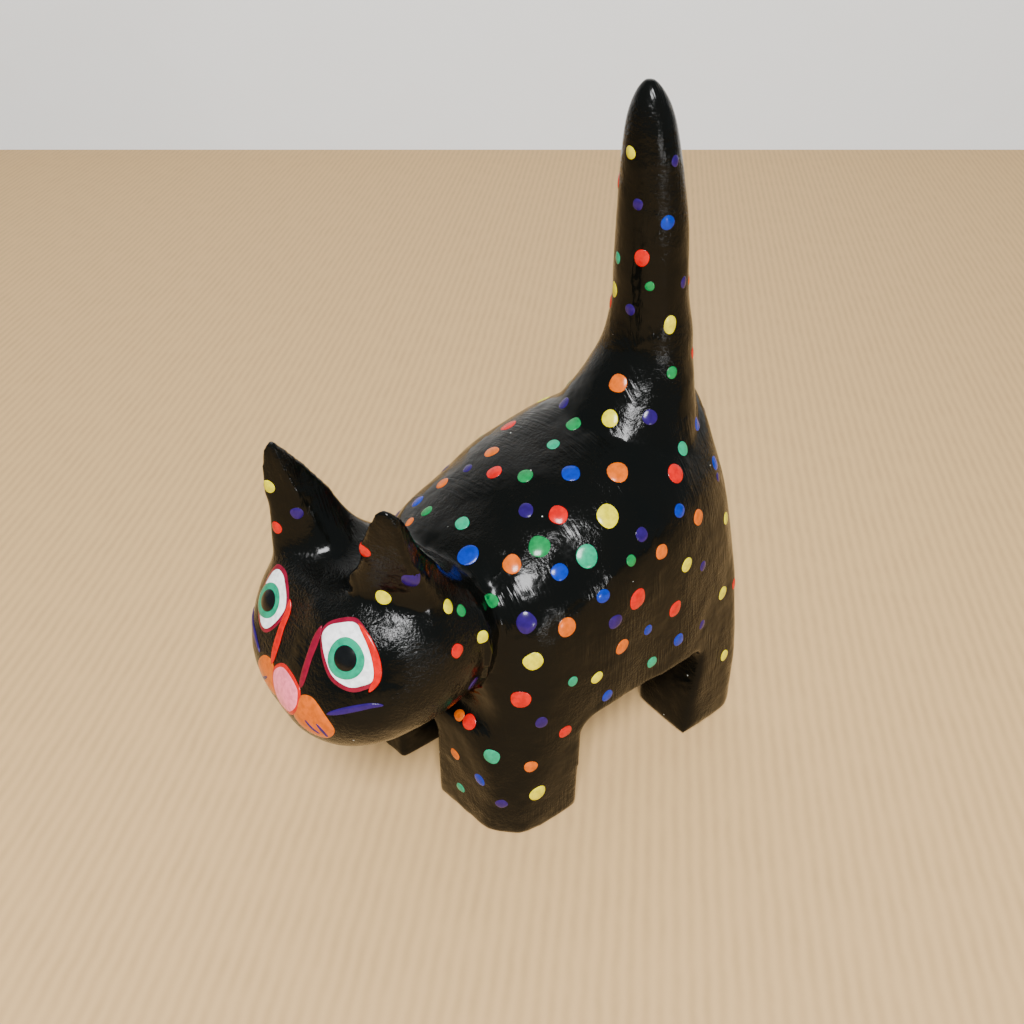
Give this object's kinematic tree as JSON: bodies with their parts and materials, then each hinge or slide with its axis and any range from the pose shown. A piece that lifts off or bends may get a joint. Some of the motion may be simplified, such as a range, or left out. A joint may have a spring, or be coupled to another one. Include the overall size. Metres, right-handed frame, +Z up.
{
  "type": "alebrije figure",
  "caption": "Small carved wooden cat with an upright tail, lacquered black and painted with coloured dots.",
  "frame": {"origin": "on the ground under the middle of the cat", "axes": "+Z up, the cat faces -Y, its left side is +X"},
  "size_m": [0.0398, 0.0697, 0.0965],
  "materials": {
    "lacquered_wood": "gloss",
    "filler": "matte",
    "bare_wood": "matte"
  },
  "bodies": {
    "root": {"body": "lacquered_wood", "head": "lacquered_wood", "tail": "lacquered_wood", "left_ear": "lacquered_wood", "right_ear": "lacquered_wood", "neck_dowel": "bare_wood", "tail_peg": "bare_wood", "left_ear_peg": "bare_wood", "right_ear_peg": "bare_wood", "neck_putty": "filler", "tail_putty": "filler", "left_ear_putty": "filler", "right_ear_putty": "filler"}
  },
  "joints": []
}
